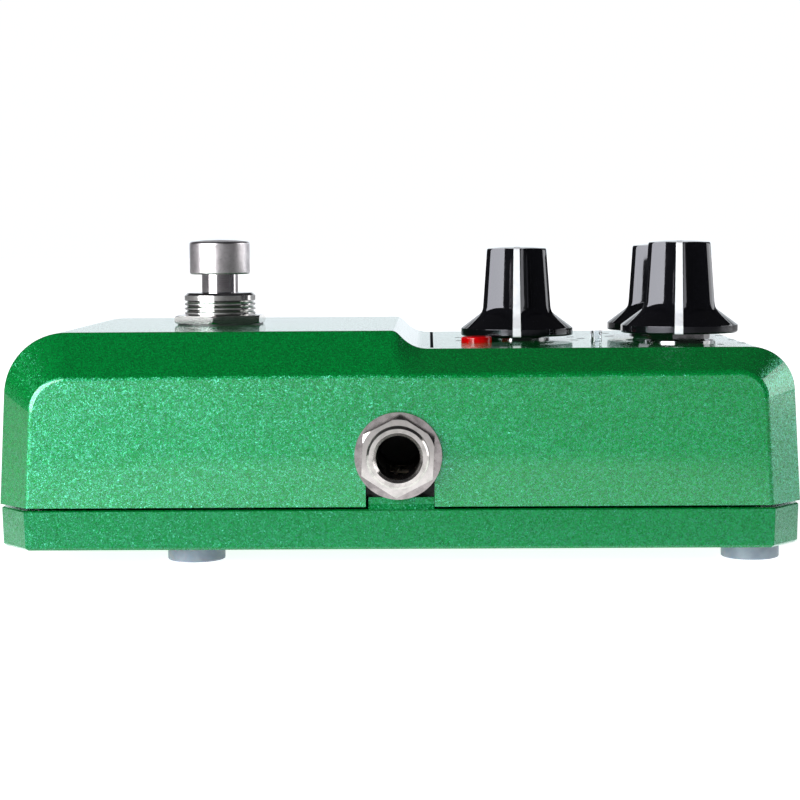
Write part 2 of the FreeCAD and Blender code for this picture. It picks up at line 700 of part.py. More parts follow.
def make_knob_shapes():
    """The knob and its inlaid pointer line, both about the origin, pointer towards -Y."""
    form = knob_form(0.0)
    start_y = -KNOB_RIM_R - OVER
    slab_face = [V(side * width / 2, start_y, z)
                 for side, width, z in ((-1, POINTER_RIM_WIDTH, 0), (1, POINTER_RIM_WIDTH, 0),
                                        (1, POINTER_TOP_WIDTH, KNOB_HEIGHT + OVER),
                                        (-1, POINTER_TOP_WIDTH, KNOB_HEIGHT + OVER))]
    pointer_slab = Part.Face(Part.makePolygon(slab_face + slab_face[:1]))
    pointer_slab = pointer_slab.extrude(V(0, -0.6 - start_y, 0))
    pointer = form.common(pointer_slab).cut(knob_form(POINTER_DEPTH))
    low_cut = box(-2, 2, -KNOB_RIM_R - 1, 0, -1, 0.02)
    pointer = pointer.cut(low_cut)

    first = flute_cutter()
    cutters = [moved(first, (0, 0, 0), 360 / FLUTE_COUNT * k) for k in range(FLUTE_COUNT)]
    knob = form.cut(cutters)
    nut_room = LOW_TOP_Z + POT_WASHER_THICK + POT_NUT_THICK + 0.3 - KNOBS["centre"][2]
    bushing_room = POT_BUSHING_TOP_Z + 0.3 - KNOBS["centre"][2]
    knob = knob.cut([
        rod(6.2, (0, 0, -1), 1 + nut_room),
        rod(4.0, (0, 0, -1), 1 + bushing_room),
        rod(SHAFT_HIGH_R + 0.02, (0, 0, -1), 1 + 12.4),
        rod(1.25, (0, 0, 6.2), 12, V(0, 1, 0)),
        pointer,
    ])
    return knob, pointer


def set_screw():
    """Slotted grub screw that clamps the knob to its shaft, opposite the pointer."""
    screw = rod(1.22, (0, SHAFT_HIGH_R + 0.02, 6.2), 2.2, V(0, 1, 0))
    slot = box(-0.25, 0.25, SHAFT_HIGH_R + 1.7, SHAFT_HIGH_R + 3, 4, 8)
    return screw.cut(slot)


knob_shape, pointer_shape = make_knob_shapes()
screw_shape = set_screw()
pot_nuts = []
pot_washers = []
for name, (knob_x, knob_y, knob_z) in KNOBS.items():
    parts["pot_case_" + name] = make_pot_case(knob_x, knob_y)
    parts["pot_bushing_" + name] = make_pot_bushing(knob_x, knob_y)
    parts["pot_shaft_" + name] = make_pot_shaft(knob_x, knob_y)
    knob_pieces = {"knob": knob_shape, "knob_pointer": pointer_shape, "set_screw": screw_shape}
    for piece_name, piece in knob_pieces.items():
        parts[f"{piece_name}_{name}"] = moved(piece, (knob_x, knob_y, knob_z), KNOB_TURNS[name])
    pot_washers.append(tube(POT_WASHER_R, POT_BUSHING_R + FIT, (knob_x, knob_y, LOW_TOP_Z),
                            POT_WASHER_THICK))
    pot_nuts.append(hexagon(POT_NUT_FLATS, POT_BUSHING_R + FIT,
                            (knob_x, knob_y, LOW_TOP_Z + POT_WASHER_THICK), POT_NUT_THICK, turn=12.0))
parts["pot_nuts"] = group(pot_nuts)
parts["pot_washers"] = group(pot_washers)


# ---- lamp and light pipe --------------------------------------------------------------------

def make_status_led():
    """Flat-topped lamp with a flange, standing on two leads."""
    x, y = LED_PLACE
    foot_z = CONTROL_TOP_Z + 2.5
    lens = spun([(0, 0), (LED_R + 0.4, 0), (LED_R + 0.4, 1.0), (LED_R, 1.0),
                 (LED_R, LOW_TOP_Z + LED_PROUD - foot_z, 0.3), (0, LOW_TOP_Z + LED_PROUD - foot_z)])
    leads = [box(x + dx - 0.25, x + dx + 0.25, y - 0.25, y + 0.25, CONTROL_TOP_Z, foot_z + 0.2)
             for dx in (-1.27, 1.27)]
    return joined([moved(lens, (x, y, foot_z))] + leads)


def make_light_pipe():
    """Clear rod that carries a board lamp's light through the panel."""
    x, y = PIPE_PLACE
    foot = CONTROL_TOP_Z + 1.1
    collar = rod(PIPE_R + 0.65, (x, y, LOW_INSIDE_Z - 1.0), 1.0)
    return joined([rod(PIPE_R, (x, y, foot), LOW_TOP_Z + PIPE_PROUD - foot), collar])


parts["status_led"] = make_status_led()
parts["light_pipe"] = make_light_pipe()


# ---- circuit boards -------------------------------------------------------------------------

CONTROL_X = (8.6, 49.8)
CONTROL_Y = (-24.0, 24.0)
SWITCH_BOARD_Z = LUG_BOTTOM_Z - BOARD


def chip(x, y, z, length=9.4, width=6.4, height=3.2):
    """A dual in-line package with eight legs."""
    half = length / 2
    legs = []
    for i in range(4):
        for side in (-1, 1):
            lx = x - half + 1.0 + i * (length - 2.0) / 3
            ly = y + side * (width / 2 + 0.4)
            legs.append(box(lx - 0.25, lx + 0.25, min(ly, y + side * (width / 2 - 0.3)),
                            max(ly, y + side * (width / 2 - 0.3)), z, z + 1.4))
    block = box(x - half, x + half, y - width / 2, y + width / 2, z + 0.5, z + height)
    return joined([block] + legs)


def make_main_board():
    """Main circuit board, clear of the screw posts."""
    return box(-47.0, 47.0, -23.0, 23.0, MAIN_BOARD_Z, MAIN_TOP_Z)


def make_control_board():
    """Upper board that carries the potentiometers, both lamps and, on its tongue, the power jack."""
    field = box(*CONTROL_X, *CONTROL_Y, CONTROL_BOARD_Z, CONTROL_TOP_Z)
    tongue = box(CONTROL_X[1] - 1, POWER_FRONT_X - 0.5, -5.5, 5.5, CONTROL_BOARD_Z, CONTROL_TOP_Z)
    return joined([field, tongue])


def make_board_header():
    """Row of pins in a moulded strip that joins the two boards."""
    pins = []
    x = 12.5
    for k in range(8):
        y = -8.89 + 2.54 * k
        pins.append(box(x - 0.32, x + 0.32, y - 0.32, y + 0.32, MAIN_TOP_Z + 2.4, CONTROL_BOARD_Z))
    strip = box(x - 1.25, x + 1.25, -10.3, 10.3, MAIN_TOP_Z, MAIN_TOP_Z + 2.5)
    return joined([strip] + pins)


def make_main_board_chips():
    """Amplifier and bypass-switching chips."""
    places = [(22.0, 8.0), (22.0, -8.0), (34.0, 8.0), (-14.0, 0.0)]
    return group([chip(x, y, MAIN_TOP_Z) for x, y in places])


def make_main_board_capacitors():
    """Electrolytic cans and film blocks."""
    solids = []
    for x, y in ((-40.0, -14.0), (30.0, -17.0), (38.0, -17.0)):
        solids.append(rod(2.5, (x, y, MAIN_TOP_Z), 7.5))
    for k in range(5):
        x = 15.0 + 7.5 * k
        solids.append(box(x - 2.6, x + 2.6, 15.5, 18.0, MAIN_TOP_Z, MAIN_TOP_Z + 6.0))
    return group(solids)


def make_footswitch_board():
    """Small board soldered to the footswitch lugs."""
    half = SWITCH_HALF + 0.3
    return box(SWITCH_X - half, SWITCH_X + half, -half, half, SWITCH_BOARD_Z, LUG_BOTTOM_Z)


def make_switch_header():
    """Pin strip between the footswitch board and the main board."""
    x = SWITCH_X + 6.5
    return box(x - 1.25, x + 1.25, -7.6, 7.6, MAIN_TOP_Z, SWITCH_BOARD_Z)


parts["main_board"] = make_main_board()
parts["control_board"] = make_control_board()
parts["board_header"] = make_board_header()
parts["main_board_chips"] = make_main_board_chips()
parts["main_board_capacitors"] = make_main_board_capacitors()
parts["footswitch_board"] = make_footswitch_board()
parts["switch_header"] = make_switch_header()


# ---- export ---------------------------------------------------------------------------------

os.makedirs("parts", exist_ok=True)
for node, shape in parts.items():
    shape.exportStep("parts/" + node + ".step")
    print(f"{node:28s} solids {len(shape.Solids):2d} volume {shape.Volume:10.2f} valid {shape.isValid()}")
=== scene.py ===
import math

import bmesh
import bpy
from mathutils import Matrix, Vector
from mathutils.bvhtree import BVHTree


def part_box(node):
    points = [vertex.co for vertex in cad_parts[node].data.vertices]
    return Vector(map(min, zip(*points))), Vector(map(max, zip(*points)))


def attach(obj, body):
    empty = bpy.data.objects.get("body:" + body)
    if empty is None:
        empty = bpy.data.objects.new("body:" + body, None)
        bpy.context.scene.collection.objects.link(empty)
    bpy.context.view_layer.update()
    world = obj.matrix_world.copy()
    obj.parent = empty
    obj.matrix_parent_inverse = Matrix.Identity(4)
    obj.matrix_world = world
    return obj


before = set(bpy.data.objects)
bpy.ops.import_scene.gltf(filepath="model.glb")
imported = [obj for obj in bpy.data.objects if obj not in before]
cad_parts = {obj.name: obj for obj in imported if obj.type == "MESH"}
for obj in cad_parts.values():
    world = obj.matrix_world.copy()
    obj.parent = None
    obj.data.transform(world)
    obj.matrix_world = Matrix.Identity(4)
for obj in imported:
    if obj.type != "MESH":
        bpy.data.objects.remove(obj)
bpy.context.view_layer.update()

MM = 0.001
UP = Vector((0, 0, 1))
ALONG_X = Vector((1, 0, 0))
ALONG_Y = Vector((0, 1, 0))


# ---- places taken from the frame --------------------------------------------------------------

def middle(node):
    """The centre of a CAD node's box."""
    low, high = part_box(node)
    return (low + high) / 2


KNOB_NAMES = ("centre", "near", "far")
JACK_NAMES = ("input", "output")
HOUSING_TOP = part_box("upper_housing")[1].z
SWITCH_CENTRE = middle("footswitch_washer")
CAP_RISE = 8.4 * MM    # the footswitch cap's underside above the housing's top


# ---- building node materials --------------------------------------------------------------------

class Nodes:
    """A node tree under construction, with short forms of the nodes used most."""

    def __init__(self, tree):
        self.tree = tree

    def add(self, kind, inputs=None, **settings):
        """A node with its settings, and its inputs set or linked."""
        node = self.tree.nodes.new(kind)
        for key, value in settings.items():
            setattr(node, key, value)
        for key, value in (inputs or {}).items():
            self.feed(node.inputs[key], value)
        return node

    def feed(self, socket, value):
        if isinstance(value, bpy.types.NodeSocket):
            self.tree.links.new(value, socket)
        else:
            socket.default_value = value

    def math(self, operation, first, second=0.0):
        inputs = {0: first, 1: second}
        return self.add("ShaderNodeMath", inputs, operation=operation).outputs[0]

    def vector(self, operation, first, second=(0, 0, 0)):
        inputs = {0: first, 1: second}
        return self.add("ShaderNodeVectorMath", inputs, operation=operation).outputs[0]

    def scaled(self, vector, amount):
        inputs = {0: vector, "Scale": amount}
        return self.add("ShaderNodeVectorMath", inputs, operation="SCALE").outputs[0]

    def length(self, vector):
        node = self.add("ShaderNodeVectorMath", {0: vector}, operation="LENGTH")
        return node.outputs["Value"]

    def dot(self, first, second):
        node = self.add("ShaderNodeVectorMath", {0: first, 1: second}, operation="DOT_PRODUCT")
        return node.outputs["Value"]

    def axes(self, vector):
        """A vector's X, Y and Z, by name."""
        return self.add("ShaderNodeSeparateXYZ", {"Vector": vector}).outputs

    def channels(self, tint):
        """A colour's red, green and blue, by number."""
        return self.add("ShaderNodeSeparateColor", {"Color": tint}).outputs

    def ramp(self, value, low, high, out_low=0.0, out_high=1.0):
        """value from low..high onto out_low..out_high, clamped, with a smooth start and end."""
        inputs = {"Value": value, "From Min": low, "From Max": high,
                  "To Min": out_low, "To Max": out_high}
        node = self.add("ShaderNodeMapRange", inputs, interpolation_type="SMOOTHSTEP")
        return node.outputs["Result"]

    def mix(self, share, first, second):
        """Two colours mixed."""
        inputs = {"Factor": share, "A": first, "B": second}
        node = self.add("ShaderNodeMix", data_type="RGBA")
        for key, value in inputs.items():
            sockets = [s for s in node.inputs if s.name == key and s.enabled]
            self.feed(sockets[0], value)
        return [s for s in node.outputs if s.enabled][0]


class Surface(Nodes):
    """A material under construction: one Principled shader and the nodes that feed it."""

    def __init__(self, name):
        self.material = bpy.data.materials.new(name)
        self.material.use_nodes = True
        super().__init__(self.material.node_tree)
        self.shader = self.tree.nodes["Principled BSDF"]
        self.place = self.add("ShaderNodeTexCoord").outputs["Object"]

    def set(self, **values):
        """Sets or links the shader's sockets; underscores stand for spaces."""
        for key, value in values.items():
            self.feed(self.shader.inputs[key.replace("_", " ")], value)

    def noise(self, size, detail=3.0, roughness=0.55, place=None, stretch=None):
        """Noise from 0 to 1 whose blobs are about size metres across."""
        place = place or self.place
        if stretch:
            place = self.vector("MULTIPLY", place, stretch)
        inputs = {"Vector": place, "Scale": 1 / size, "Detail": detail, "Roughness": roughness}
        return self.add("ShaderNodeTexNoise", inputs).outputs["Fac"]

    def cells(self, size, place=None):
        """A random colour for each cell; the cells are about size metres across."""
        inputs = {"Vector": place or self.place, "Scale": 1 / size}
        return self.add("ShaderNodeTexVoronoi", inputs).outputs["Color"]

    def bump(self, height, distance):
        """A bumped normal; distance is how many metres a height of 1 stands up."""
        inputs = {"Height": height, "Distance": distance, "Strength": 1.0}
        return self.add("ShaderNodeBump", inputs).outputs["Normal"]

    def tilted(self, random, amount):
        """The surface normal tipped by a random colour, for flakes."""
        centred = self.vector("SUBTRACT", random, (0.5, 0.5, 0.5))
        normal = self.add("ShaderNodeNewGeometry").outputs["Normal"]
        return self.vector("NORMALIZE", self.vector("ADD", normal, self.scaled(centred, amount)))


def colour(red, green, blue):
    return (red, green, blue, 1.0)


def dimmed(tint, share):
    """A colour at a share of its brightness."""
    return tuple(share * c for c in tint[:3]) + (1.0,)


# ---- materials ----------------------------------------------------------------------------------

PIGMENT_DEEP = colour(0.0, 0.145, 0.020)
PIGMENT = colour(0.0, 0.26, 0.041)
FLAKE_TINT = colour(0.29, 1.0, 1.0)
FLAKE_CELLS = (0.36 * MM, 0.16 * MM, 0.05 * MM)    # coarse, fine, dust
FLAKE_TILT = 0.62
FLAKE_IOR_LOW = 1.3
FLAT_TOP = (0.935, 0.985)    # the normal's height where a face starts and finishes being a flat top
TOP_COAT = 0.72              # coat weight and specular level on flat tops: lower than on the other
TOP_SPECULAR = 0.1           # faces, to match the tone of the panels in the photo


def sparkle_lacquer(name, painted_shade_share=1.0, flake_ior=2.0, coat_ior=1.45):
    """Green sparkle lacquer: pigment and tilted flakes under a slightly wavy top coat."""
    s = Surface(name)
    coarse, fine, dust = (s.cells(size) for size in FLAKE_CELLS)
    fine_parts = s.channels(fine)
    mottle = s.noise(0.5 * MM, detail=3.0, roughness=0.7)
    grain = s.math("ADD", s.math("MULTIPLY", mottle, 0.6), s.math("MULTIPLY", fine_parts[0], 0.4))
    facing_up = s.axes(s.add("ShaderNodeNewGeometry").outputs["Normal"])["Z"]
    # The pigment is dimmed by the share passed in: below 1 this is painted shade, a darker copy of the
    # same lacquer.
    s.set(
        Base_Color=s.mix(s.ramp(grain, 0.25, 0.75), dimmed(PIGMENT_DEEP, painted_shade_share), dimmed(PIGMENT, painted_shade_share)),
        Roughness=s.ramp(fine_parts[2], 0.0, 1.0, 0.16, 0.22),
        IOR=s.ramp(fine_parts[1], 0.0, 1.0, FLAKE_IOR_LOW, flake_ior * 2 - FLAKE_IOR_LOW),
        Normal=s.tilted(s.mix(0.55, s.mix(0.5, coarse, fine), dust), FLAKE_TILT),
        Coat_Normal=s.bump(s.noise(2.4 * MM, detail=2.0), 0.004 * MM),
        Coat_Weight=s.ramp(facing_up, *FLAT_TOP, 1.0, TOP_COAT),
        Specular_IOR_Level=s.ramp(facing_up, *FLAT_TOP, 0.5, TOP_SPECULAR),
    )
    s.set(Metallic=0.3, Specular_Tint=FLAKE_TINT, Coat_Roughness=0.03, Coat_IOR=coat_ior)
    return s.material


RING_SLANT = 0.83    # how fast the turning marks change with height, against radius


def ring_lines(s, centre, axis, pitch):
    """Fine turning marks: rings about an axis, and lines round a cylinder's side."""
    offset = s.vector("SUBTRACT", s.place, tuple(centre))
    height = s.dot(offset, tuple(axis))
    radius = s.length(s.vector("SUBTRACT", offset, s.scaled(tuple(axis), height)))
    both = s.math("ADD", radius, s.math("MULTIPLY", height, RING_SLANT))
    place = s.add("ShaderNodeCombineXYZ", {"X": both}).outputs[0]
    return s.noise(pitch, detail=4.0, roughness=0.75, place=place)


TURNED_PITCH = 0.12 * MM
TURNED_DEPTH = 0.0015 * MM


def turned_metal(name, base, centre, axis, roughness=(0.08, 0.22), stain=0.12):
    """Plated metal turned about an axis: rings, fine pits and slight clouding."""
    s = Surface(name)
    rings = ring_lines(s, centre, axis, TURNED_PITCH)
    cloud = s.noise(1.8 * MM, detail=5.0, roughness=0.6)
    pits = s.noise(0.16 * MM, detail=2.0)
    height = s.math("ADD", rings, s.math("MULTIPLY", pits, 0.35))
    wear = s.math("ADD", s.math("MULTIPLY", rings, 0.6), s.math("MULTIPLY", cloud, 0.4))
    s.set(
        Base_Color=s.mix(s.ramp(cloud, 0.35, 0.75), base, dimmed(base, 1 - 2.2 * stain)),
        Roughness=s.ramp(wear, 0.3, 0.7, *roughness),
        Normal=s.bump(height, TURNED_DEPTH),
    )
    s.set(Metallic=1.0)
    return s.material


def plunger_metal(centre, cap_foot):
    """Nickel plate: blasted to a satin grain on the cap, left polished on the stem below it."""
    s = Surface("plunger_nickel")
    rings = ring_lines(s, centre, UP, 0.10 * MM)
    cloud = s.noise(1.6 * MM, detail=4.0)
    blast = s.noise(0.16 * MM, detail=3.0, roughness=0.7)
    on_cap = s.ramp(s.axes(s.place)["Z"], cap_foot - 0.1 * MM, cap_foot + 0.1 * MM)
    grain = s.math("MULTIPLY", blast, s.ramp(on_cap, 0.0, 1.0, 0.15, 1.0))
    satin = s.ramp(blast, 0.3, 0.7, 0.26, 0.40)
    polish = s.ramp(rings, 0.3, 0.7, 0.06, 0.16)
    s.set(
        Base_Color=s.mix(s.ramp(cloud, 0.35, 0.7), SATIN_NICKEL, SATIN_SHADE),
        Roughness=s.math("ADD", s.math("MULTIPLY", satin, on_cap),
                         s.math("MULTIPLY", polish, s.math("SUBTRACT", 1.0, on_cap))),
        Normal=s.bump(s.math("ADD", grain, s.math("MULTIPLY", rings, 0.2)), 0.012 * MM),
    )
    s.set(Metallic=1.0)
    return s.material


def plain_metal(name, base, roughness=(0.15, 0.35)):
    """Plated or tinned sheet metal with a fine random grain."""
    s = Surface(name)
    cloud = s.noise(1.5 * MM, detail=4.0)
    fine = s.noise(0.25 * MM, detail=3.0)
    s.set(
        Base_Color=s.mix(s.ramp(cloud, 0.35, 0.7), base, dimmed(base, 0.72)),
        Roughness=s.ramp(cloud, 0.3, 0.7, *roughness),
        Normal=s.bump(fine, 0.002 * MM),
    )
    s.set(Metallic=1.0)
    return s.material


def moulded_plastic(name, base, lighter, roughness=(0.45, 0.65), grain=0.3 * MM):
    """Moulded plastic with a fine texture and faint colour clouds."""
    s = Surface(name)
    cloud = s.noise(4.0 * MM, detail=4.0)
    fine = s.noise(grain, detail=3.0)
    s.set(
        Base_Color=s.mix(s.ramp(cloud, 0.3, 0.7), base, lighter),
        Roughness=s.ramp(fine, 0.3, 0.7, *roughness),
        Normal=s.bump(fine, 0.01 * MM),
    )
    return s.material


def polished_black():
    """Polished black knob plastic: deep gloss with faint flow waves and fine dust."""
    s = Surface("knob_polish")
    waves = s.noise(3.5 * MM, detail=2.0, roughness=0.4)
    smudge = s.noise(2.2 * MM, detail=5.0, roughness=0.65)
    speck = s.noise(0.22 * MM, detail=2.0)
    dust = s.ramp(speck, 0.70, 0.80)
    s.set(
        Base_Color=s.mix(s.math("MULTIPLY", dust, 0.35), colour(0.003, 0.003, 0.004),
                         colour(0.03, 0.03, 0.035)),
        Roughness=s.ramp(smudge, 0.35, 0.75, 0.06, 0.13),
        Normal=s.bump(waves, 0.012 * MM),
    )
    # The lavender specular tint is a painted tint on the reflections, standing in for the colour of the
    # studio light.
    s.set(IOR=1.49, Specular_Tint=colour(0.90, 0.91, 1.0))
    return s.material


def pointer_paint():
    """White line filled into a groove: slightly uneven, with a soft sheen."""
    s = Surface("pointer_paint")
    cloud = s.noise(1.1 * MM, detail=4.0)
    fine = s.noise(0.15 * MM)
    s.set(
        Base_Color=s.mix(s.ramp(cloud, 0.3, 0.7), colour(0.80, 0.81, 0.83), colour(0.70, 0.72, 0.76)),
        Roughness=s.ramp(fine, 0.3, 0.7, 0.30, 0.45),
        Normal=s.bump(fine, 0.006 * MM),
    )
    return s.material


def lamp_epoxy():
    """Clear red epoxy: deep colour that glows a little, with a rippled moulded wall."""
    s = Surface("lamp_epoxy")
    cloud = s.noise(1.2 * MM, detail=3.0)
    ripples = s.noise(0.5 * MM, detail=2.0, stretch=(1, 1, 0.12))
    s.set(
        Base_Color=s.mix(s.ramp(cloud, 0.3, 0.7), colour(0.70, 0.0, 0.004), colour(0.42, 0.0, 0.002)),
        Roughness=s.ramp(cloud, 0.3, 0.7, 0.06, 0.14),
        Normal=s.bump(ripples, 0.03 * MM),
        Emission_Color=s.mix(s.ramp(ripples, 0.3, 0.7), colour(1.0, 0.01, 0.0), colour(0.6, 0.0, 0.0)),
    )
    s.set(Emission_Strength=0.10, Transmission_Weight=0.25, IOR=1.52)
    return s.material


def clear_acrylic():
    """Clear acrylic rod, faintly clouded at its cut end."""
    s = Surface("clear_acrylic")
    cloud = s.noise(0.7 * MM, detail=4.0)
    s.set(
        Base_Color=s.mix(s.ramp(cloud, 0.3, 0.7), colour(0.90, 0.92, 0.95), colour(0.70, 0.74, 0.80)),
        Roughness=s.ramp(cloud, 0.3, 0.7, 0.02, 0.10),
        Normal=s.bump(s.noise(0.4 * MM), 0.006 * MM),
    )
    s.set(Transmission_Weight=1.0, IOR=1.49)
    return s.material


def soft_rubber():
    """Translucent grey-blue rubber with a satin moulded skin."""
    s = Surface("foot_rubber")
    cloud = s.noise(2.2 * MM, detail=4.0)
    fine = s.noise(0.14 * MM)
    s.set(
        Base_Color=s.mix(s.ramp(cloud, 0.3, 0.7), colour(0.27, 0.31, 0.37), colour(0.20, 0.235, 0.30)),
        Roughness=s.ramp(fine, 0.3, 0.7, 0.38, 0.55),
        Normal=s.bump(fine, 0.008 * MM),
    )
    s.set(Subsurface_Weight=0.35, Subsurface_Scale=0.8 * MM, IOR=1.43)
    return s.material


def printed_ink():
    """Dull dark screen-printed ink with slightly ragged density."""
    s = Surface("panel_ink")
    cloud = s.noise(0.4 * MM, detail=4.0)
    s.set(
        Base_Color=s.mix(s.ramp(cloud, 0.3, 0.7), colour(0.012, 0.014, 0.016), colour(0.03, 0.035, 0.04)),
        Roughness=s.ramp(cloud, 0.3, 0.7, 0.9, 1.0),
        Normal=s.bump(cloud, 0.003 * MM),
    )
    s.set(IOR=1.02, Specular_IOR_Level=0.1)
    return s.material


TRACK_PITCH = 1.27 * MM


def circuit_laminate():
    """Green solder mask over copper tracks on a square routing grid."""
    s = Surface("circuit_laminate")
    tracks = s.cells(4 * TRACK_PITCH, place=s.vector("SNAP", s.place, (TRACK_PITCH,) * 3))
    copper = s.ramp(s.channels(tracks)[0], 0.45, 0.55)
    weave = s.noise(0.3 * MM, detail=2.0)
    s.set(
        Base_Color=s.mix(copper, colour(0.008, 0.07, 0.035), colour(0.02, 0.15, 0.07)),
        Roughness=s.ramp(weave, 0.3, 0.7, 0.25, 0.4),
        Normal=s.bump(s.math("ADD", copper, s.math("MULTIPLY", weave, 0.2)), 0.02 * MM),
    )
    return s.material


NICKEL = colour(0.68, 0.65, 0.625)
BRIGHT_NICKEL = colour(0.60, 0.57, 0.555)
DULL_NICKEL = colour(0.42, 0.385, 0.385)
COOL_NICKEL = colour(0.74, 0.73, 0.72)
SATIN_NICKEL = colour(0.64, 0.61, 0.63)
SATIN_SHADE = colour(0.52, 0.49, 0.51)
# painted shade: nickel darkened to stand in for the shade under the knobs, used on the pot nuts and
# washers
SHADED_NICKEL = colour(0.30, 0.29, 0.30)
BLACK_STEEL = colour(0.06, 0.06, 0.065)
SPRING_STEEL = colour(0.5, 0.5, 0.52)
ALUMINIUM = colour(0.8, 0.8, 0.81)
TINNED_BRONZE = colour(0.70, 0.63, 0.50)

JACK_TONES = {    # piece: colour, roughness, stain
    "bushing": (NICKEL, (0.08, 0.26), 0.15),
    "nut": (BRIGHT_NICKEL, (0.04, 0.14), 0.10),
    "washer": (DULL_NICKEL, (0.12, 0.30), 0.22),
}


def dress(node, material):
    """Gives a CAD node one material."""
    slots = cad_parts[node].data.materials
    slots.clear()
    slots.append(material)


def dress_enclosure():
    dress("upper_housing", sparkle_lacquer("housing_lacquer"))
    # The plate's pigment is dimmed to 0.74 of the housing's: painted shade that makes the plate darker
    # than the housing.
    dress("bottom_plate", sparkle_lacquer("plate_lacquer", painted_shade_share=0.74, flake_ior=1.7, coat_ior=1.2))
    rubber = soft_rubber()
    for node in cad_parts:
        if node.startswith("foot_"):
            dress(node, rubber)
    dress("status_led", lamp_epoxy())
    dress("light_pipe", clear_acrylic())


def dress_jacks(nylon, bronze):
    for side in JACK_NAMES:
        jack = side + "_jack"
        centre = middle(jack + "_bushing")
        for piece, (base, roughness, stain) in JACK_TONES.items():
            metal = turned_metal(f"{jack}_{piece}_nickel", base, centre, ALONG_Y, roughness, stain)
            dress(f"{jack}_{piece}", metal)
        dress(jack + "_body", nylon)
        dress(jack + "_contacts", bronze)
    dress("power_jack_body", nylon)
    dress("power_jack_pin", turned_metal("pin_nickel", NICKEL, middle("power_jack_pin"), ALONG_X))
    dress("power_jack_terminals", bronze)


def dress_footswitch(bronze):
    nickel = turned_metal("switch_nickel", COOL_NICKEL, SWITCH_CENTRE, UP)
    for piece in ("frame", "nut", "lower_nut", "lock_washer"):
        dress("footswitch_" + piece, nickel)
    dress("footswitch_plunger", plunger_metal(SWITCH_CENTRE, HOUSING_TOP + CAP_RISE))
    dress("footswitch_spring", plain_metal("spring_steel", SPRING_STEEL))
    dress("footswitch_washer", moulded_plastic("washer_nylon", colour(0.02, 0.02, 0.022),
                                               colour(0.035, 0.035, 0.037), roughness=(0.3, 0.45)))
    dress("footswitch_base", moulded_plastic("blue_phenolic", colour(0.01, 0.07, 0.30),
                                             colour(0.02, 0.10, 0.38)))
    dress("footswitch_lugs", bronze)


def dress_knobs(nylon, screw):
    """The knobs, their pointers and set screws, and the potentiometers under them."""
    black_gloss = polished_black()
    paint = pointer_paint()
    for name in KNOB_NAMES:
        centre = middle("pot_shaft_" + name)
        dress("knob_" + name, black_gloss)
        dress("knob_pointer_" + name, paint)
        dress("set_screw_" + name, screw)
        dress("pot_bushing_" + name, turned_metal(f"pot_nickel_{name}", COOL_NICKEL, centre, UP))
        dress("pot_shaft_" + name, turned_metal(f"shaft_aluminium_{name}", ALUMINIUM, centre, UP,
                                                roughness=(0.2, 0.4)))
        dress("pot_case_" + name, nylon)
    # The pot nuts and washers get darkened nickel: painted shade from the knobs above them.
    shaded_pot_plate = plain_metal("pot_plate_shaded_nickel", SHADED_NICKEL, roughness=(0.05, 0.14))
    dress("pot_nuts", shaded_pot_plate)
    dress("pot_washers", shaded_pot_plate)


def dress_boards():
    laminate = circuit_laminate()
    for node in ("main_board", "control_board", "footswitch_board"):
        dress(node, laminate)
    header = moulded_plastic("header_strip", colour(0.015, 0.015, 0.016), colour(0.03, 0.03, 0.03))
    dress("board_header", header)
    dress("switch_header", header)
    dress("main_board_chips", moulded_plastic("chip_epoxy", colour(0.02, 0.02, 0.022),
                                              colour(0.035, 0.035, 0.037), grain=0.12 * MM))
    dress("main_board_capacitors", moulded_plastic("capacitor_sleeve", colour(0.012, 0.02, 0.09),
                                                   colour(0.02, 0.03, 0.13), roughness=(0.15, 0.3)))


def dress_all():
    """Every CAD node's material."""
    nylon = moulded_plastic("black_nylon", colour(0.018, 0.018, 0.02), colour(0.03, 0.03, 0.032))
    bronze = plain_metal("tinned_bronze", TINNED_BRONZE)
    screw = plain_metal("black_screw", BLACK_STEEL, roughness=(0.3, 0.5))
    dress_enclosure()
    dress_jacks(nylon, bronze)
    dress_footswitch(bronze)
    dress_knobs(nylon, screw)
    dress("bottom_screws", screw)
    dress_boards()


# ---- new objects --------------------------------------------------------------------------------

def link(name, data):
    """A new object in the scene."""
    piece = bpy.data.objects.new(name, data)
    bpy.context.scene.collection.objects.link(piece)
    return piece


def object_from(name, mesh, material):
    """A new object from a bmesh, which is used up."""
    data = bpy.data.meshes.new(name)
    mesh.to_mesh(data)
    mesh.free()
    data.materials.append(material)
    return link(name, data)


# ---- panel print --------------------------------------------------------------------------------

INK_LIFT = 0.012 * MM
INK_THICK = 0.02 * MM
TICK_COUNT = 11
TICK_SPAN = math.radians(300)
TICK_RADII = (10.1 * MM, 11.4 * MM)
TICK_WIDTH = 0.35 * MM
TICK_STRETCH = 0.5 * MM       # how much longer the two end ticks are
TICK_PIECES = 3               # slabs per tick, so that it follows the panel
LAMP_CLEARANCE = 3.5 * MM
LINE_X = 5.2 * MM
LINE_REACH = 27.0 * MM
LINE_WIDTH = 0.5 * MM
LINE_PIECES = 12
DROP_HEIGHT = 5 * MM          # how far above the housing the print is dropped from
RAY_SLACK = 0.001 * MM


